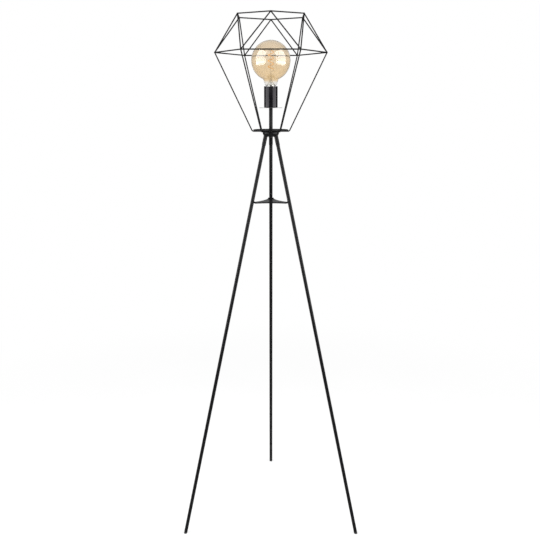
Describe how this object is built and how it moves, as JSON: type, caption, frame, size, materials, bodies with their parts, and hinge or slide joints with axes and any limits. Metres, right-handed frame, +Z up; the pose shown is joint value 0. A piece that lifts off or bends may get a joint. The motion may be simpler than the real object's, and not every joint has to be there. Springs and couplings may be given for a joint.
{
  "type": "wire cage floor lamp",
  "caption": "Floor lamp on a slim steel tripod, with an open faceted wire cage round one large amber globe bulb.",
  "frame": {"origin": "on the floor under the middle of the whole lamp's bounding box", "axes": "+Z up, the front towards -Y: one leg goes to the back (+Y), two legs to the front; the lamp axis stands at X 0, Y -0.0816"},
  "size_m": [0.5758, 0.5002, 1.6482],
  "materials": {
    "black_steel": "satin black powder coat",
    "silver_disc": "satin silver",
    "zinc_steel": "zinc plated",
    "black_plastic": "matt moulded",
    "white_ceramic": "glazed",
    "brass": "plain",
    "bright_steel": "bright",
    "amber_glass": "clear blown glass, amber tinted",
    "filament_glow": "soft phosphor coating",
    "lead_wire": "drawn wire",
    "clear_glass": "clear",
    "nickel_cap": "nickel plated, bright",
    "black_glass": "glossy black insulating glass",
    "solder": "dull solder",
    "driver_board": "coated board"
  },
  "bodies": {
    "stand": {"leg_back": "black_steel", "leg_left": "black_steel", "leg_right": "black_steel", "leg_stubs": "black_steel", "brace_plate": "black_steel", "hub_bowl": "black_steel", "hub_plate": "black_steel", "cage_centre_plate": "black_steel", "cage_bottom_ring": "black_steel", "cage_waist_ring": "black_steel", "cage_top_ring": "black_steel", "cage_crown_braces": "black_steel", "cage_stays": "black_steel", "stem_sleeve": "black_steel", "lampholder_cup": "black_steel", "brace_screws": "black_steel", "socket_disc": "silver_disc", "leg_studs": "zinc_steel", "leg_inserts": "zinc_steel", "hub_nut": "zinc_steel", "holder_nut": "zinc_steel", "threaded_tube": "zinc_steel", "holder_strap": "zinc_steel", "strap_screws": "zinc_steel", "foot_back": "black_plastic", "foot_left": "black_plastic", "foot_right": "black_plastic", "cord_bushing": "black_plastic", "holder_body": "white_ceramic", "threaded_shell": "brass", "terminal_blocks": "brass", "centre_strip": "brass", "side_strip": "brass", "terminal_screws": "bright_steel", "contact_spring": "bright_steel"},
    "bulb": {"bulb_glass": "amber_glass", "bulb_filament": "filament_glow", "bulb_leads": "lead_wire", "bulb_mount": "clear_glass", "bulb_driver": "driver_board", "bulb_cap": "nickel_cap", "cap_insulator": "black_glass", "tip_lead": "lead_wire", "cap_tip": "solder"},
    "contact": {"contact_plunger": "brass", "plunger_clip": "bright_steel"}
  },
  "joints": [
    {"name": "bulb_lift", "type": "slide", "parent": "stand", "child": "bulb", "axis": [0, 0, 1], "range_m": [0, 0.25]},
    {"name": "contact_press", "type": "slide", "parent": "stand", "child": "contact", "axis": [0, 0, 1], "range_m": [-0.0015, 0], "stiffness_N_per_m": 2400, "deforming": ["contact_spring"]}
  ]
}
